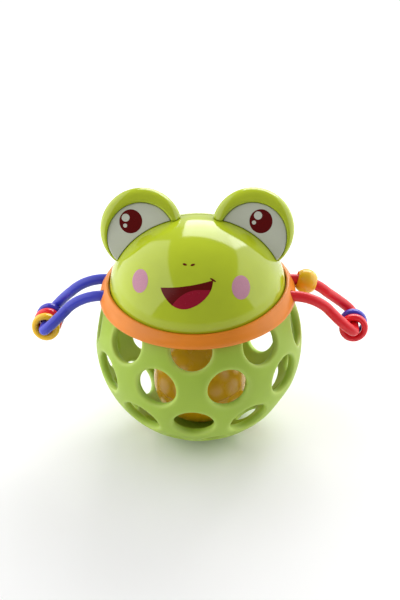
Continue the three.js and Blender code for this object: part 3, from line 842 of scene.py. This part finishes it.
def loop_path(side, front, rear):
    """Front leg outwards, then the rear leg back. The straight far end is between their corners."""
    skew = (front - rear) * END_HANDLE / (2 * LOOP_HALF)
    path = np.vstack([leg_path(-1, front, skew), leg_path(1, rear, skew)[::-1]])
    return path * [side, 1, 1]


print("path of the left loop:", len(loop_path(*LOOPS["left"])), "points")


# %% Tube loops
def tube(path, radius, lean, around=32):
    """Circle carried along a path, closed at both ends: middle + r (cos t * b + sin t * c)."""
    path = np.vstack([path[:1], path, path[-1:]])
    along = np.gradient(path, axis=0)
    along /= np.linalg.norm(along, axis=1, keepdims=True)
    b = lean - (along @ lean)[:, None] * along
    b /= np.linalg.norm(b, axis=1, keepdims=True)
    t = 2 * math.pi * np.arange(around) / around
    ring = np.cos(t)[None, :, None] * b[:, None] + np.sin(t)[None, :, None] * np.cross(along, b)[:, None]
    size = np.full(len(path), float(radius))
    size[[0, -1]] = 0
    points = path[:, None] + size[:, None, None] * ring
    return points.reshape(-1, 3), grid(len(path), around)


for name, finish in (("left", tube_blue), ("right", tube_red)):
    side = LOOPS[name][0]
    across = np.array([side, 0, 1]) / math.sqrt(2)
    loop = mesh_of(f"{name}_arm_tube", *tube(loop_path(*LOOPS[name]), TUBE_R, across))
    add_piece(loop, finish, "toy", "blue" if name == "left" else "red", [f"arm_loop_{name}"], crease=60)

# %% [markdown]
# The beads are fat rings with a nearly round section, threaded on the far end of each loop. They
# hang on the tube, so they lie a little low and lean back. The place of each ring is the middle of
# its CAD node, and a left ring's axis is the axis of the joint that it spins on.

# %% Rings
RING_OUTER_R, RING_HOLE_R, RING_T = 6.9, 3.8, 4.2
RING_LEAN, RING_POWER = math.radians(12), 0.85


def ring_outline(steps=48):
    """Oval with slightly flattened sides: cos t and sin t to the power 0.85, keeping their signs."""
    t = 2 * math.pi * (np.arange(steps) + 0.5) / steps
    circle = np.stack([np.cos(t), np.sin(t)], -1)
    soft = np.abs(circle) ** RING_POWER * np.sign(circle)
    return [(RING_OUTER_R + RING_HOLE_R) / 2, 0] + soft * [(RING_OUTER_R - RING_HOLE_R) / 2, RING_T / 2]


bead_finishes = {"yellow": bead_yellow, "red": bead_red, "blue": bead_blue}
bead_slots = {"yellow": "yellow", "red": "red_bead", "blue": "blue_bead"}
level_axis = (0, -math.cos(RING_LEAN), math.sin(RING_LEAN))
for side, colours in (("left", ("yellow", "red", "blue")), ("right", ("red", "blue"))):
    for colour in colours:
        node = f"{side}_ring_{colour}"
        axis = joints[f"{node}_spin"]["axis"] if side == "left" else level_axis
        points, faces = turned(ring_outline(), 96)
        ring = mesh_of(f"{side}_bead_{colour}", placed(points, middle_of(node), axis), faces)
        add_piece(ring, bead_finishes[colour], node, bead_slots[colour], [node])

# %% [markdown]
# One round bead sits on the rear leg of the red loop. Its bore widens towards both mouths in a soft
# flare, so that it slides round the tube's bend without catching.

# %% Round bead
BEAD_R, BEAD_BORE_R, BEAD_FLARE, BEAD_AT = 5.9, 3.3, 0.4, math.radians(17)


def round_bead_outline():
    """A ball's arc outside, and inside a bore of r = bore + flare * (h / half)^6."""
    mouth = math.asin((BEAD_BORE_R + BEAD_FLARE) / BEAD_R)
    outside = arc(BEAD_R, BEAD_R, 0, mouth - RIGHT_ANGLE, RIGHT_ANGLE - mouth, 60)
    half = outside[-1, 1]
    height = np.linspace(half, -half, 40)[1:-1]
    bore = np.stack([BEAD_BORE_R + BEAD_FLARE * (height / half) ** 6, height], -1)
    return np.vstack([outside, bore])


bead_points, bead_faces = turned(round_bead_outline(), 96)
bead_axis = (math.cos(BEAD_AT), 0, -math.sin(BEAD_AT))
bead_points = placed(bead_points, middle_of("round_bead_yellow"), bead_axis)
bead_mesh = mesh_of("right_round_bead", bead_points, bead_faces)
add_piece(bead_mesh, bead_yellow, "round_bead", "yellow", ["round_bead_yellow"], crease=50)

# %% [markdown]
# The rattle ball is two thin, glossy half shells that meet at a fine seam with a small chamfer. It
# lies at the bottom of the soft ball and shows through the holes.

# %% Rattle ball
RATTLE_R, RATTLE_WALL, SEAM, CHAMFER = 22.9, 1.5, 0.08, 0.22


def half_shell(flip):
    """Quarter circle outside from the seam to the pole, and a smaller one back inside."""
    low = math.asin((SEAM + CHAMFER) / RATTLE_R)
    outside = arc(RATTLE_R, RATTLE_R, 0, low, RIGHT_ANGLE, 60)
    inner = RATTLE_R - RATTLE_WALL
    inside = arc(inner, inner, 0, RIGHT_ANGLE, math.asin(SEAM / inner), 30)
    outside[-1, 0] = inside[0, 0] = 0
    outline = np.vstack([[(RATTLE_R - CHAMFER, SEAM)], outside, inside])
    points, faces = turned(outline, 144)
    return points * [1, flip, flip], faces


rattle_middle = middle_of("rattle_shell_lower", "rattle_shell_upper")
for name, flip in (("upper", 1), ("lower", -1)):
    points, faces = half_shell(flip)
    shell = mesh_of(f"rattle_{name}", points + rattle_middle, faces)
    add_piece(shell, amber_gloss, "rattle", "amber", [f"rattle_shell_{name}"], crease=40)

# %% [markdown]
# The plate, clamp ring, screws and pellets have the right shape already, so the CAD nodes stay and
# only get a finish.

# %% Inner CAD pieces
inner_finishes = {"head_base_plate": inner_plain, "clamp_ring": inner_plain}
inner_finishes.update({f"clamp_screw_{number}": steel for number in (1, 2, 3, 4)})
inner_finishes.update({f"pellet_{number}": inner_plain for number in (1, 2, 3)})
for node, finish in inner_finishes.items():
    for material_slot in frame["nodes"][node].material_slots:
        material_slot.material = finish
print("CAD pieces with a finish:", len(inner_finishes))

# %% [markdown]
# The room is a round pale floor under soft light. A wide panel stands on each side, a smaller bright
# one hangs behind and a dim wall stands far behind. The shiny head shows them as soft patches,
# while the side that faces the viewer reflects only the dim room, so the lime stays deep there.
# Rays straight from the camera see a brighter room than the light that the room gives.

# %% Floor and light
def pale_floor(name):
    """Matt pale sheet with a very faint unevenness."""
    material, shader, place = start_finish(name)
    fill(shader, {"Base Color": mix(noise(place, 90, 3), shade(0.93, 0.93, 0.93), shade(0.95, 0.95, 0.95)),
                  "Roughness": 0.7 + noise(place, 40, 2) * 0.1})
    return material


FLOOR_R, FLOOR_SIDES = 0.62, 96  # radius in metres
floor_mesh = bpy.data.meshes.new("floor")
floor_ring = [(FLOOR_R * math.cos(turn), FLOOR_R * math.sin(turn), 0)
              for turn in np.linspace(0, 2 * math.pi, FLOOR_SIDES, endpoint=False)]
floor_mesh.from_pydata(floor_ring, [], [tuple(range(FLOOR_SIDES))])
floor = bpy.data.objects.new("floor", floor_mesh)
bpy.context.scene.collection.objects.link(floor)
floor_mesh.materials.append(pale_floor("floor_pale"))

# name, turn and height above level in degrees, distance, width and tallness in metres, brightness
PANELS = (("panel_left", -93, 25, 0.62, 1.15, 1.0, 1.7),
          ("panel_right", 109, 20, 0.62, 0.98, 0.76, 1.7),
          ("panel_back", 166, 36, 0.75, 0.56, 0.44, 5.0),
          ("wall_back", 180, 14, 1.3, 2.4, 0.7, 0.6))
for name, turn, height, distance, wide, tall, bright in PANELS:
    panel = bpy.data.lights.new(name, "AREA")
    panel.shape, panel.size, panel.size_y = "RECTANGLE", wide, tall
    panel.energy = bright * math.pi * wide * tall
    lamp = bpy.data.objects.new(name, panel)
    bpy.context.scene.collection.objects.link(lamp)
    away = direction(math.radians(turn), math.radians(height))
    lamp.matrix_world = aimed(CENTRE + distance * away, away)

ROOM_LIGHT, ROOM_SEEN = 0.3, 1.05
world = bpy.data.worlds.new("room")
bpy.context.scene.world = world
world.use_nodes = True
room = world.node_tree.nodes["Background"]
room.inputs["Color"].default_value = (1, 1, 1, 1)
seen = Wire(world.node_tree).node("ShaderNodeLightPath", {}, {}, out="Is Camera Ray")
strength = seen * (ROOM_SEEN - ROOM_LIGHT) + ROOM_LIGHT
world.node_tree.links.new(strength.socket, room.inputs["Strength"])
bpy.context.scene.view_settings.view_transform = "Standard"
print("panels:", len(PANELS))
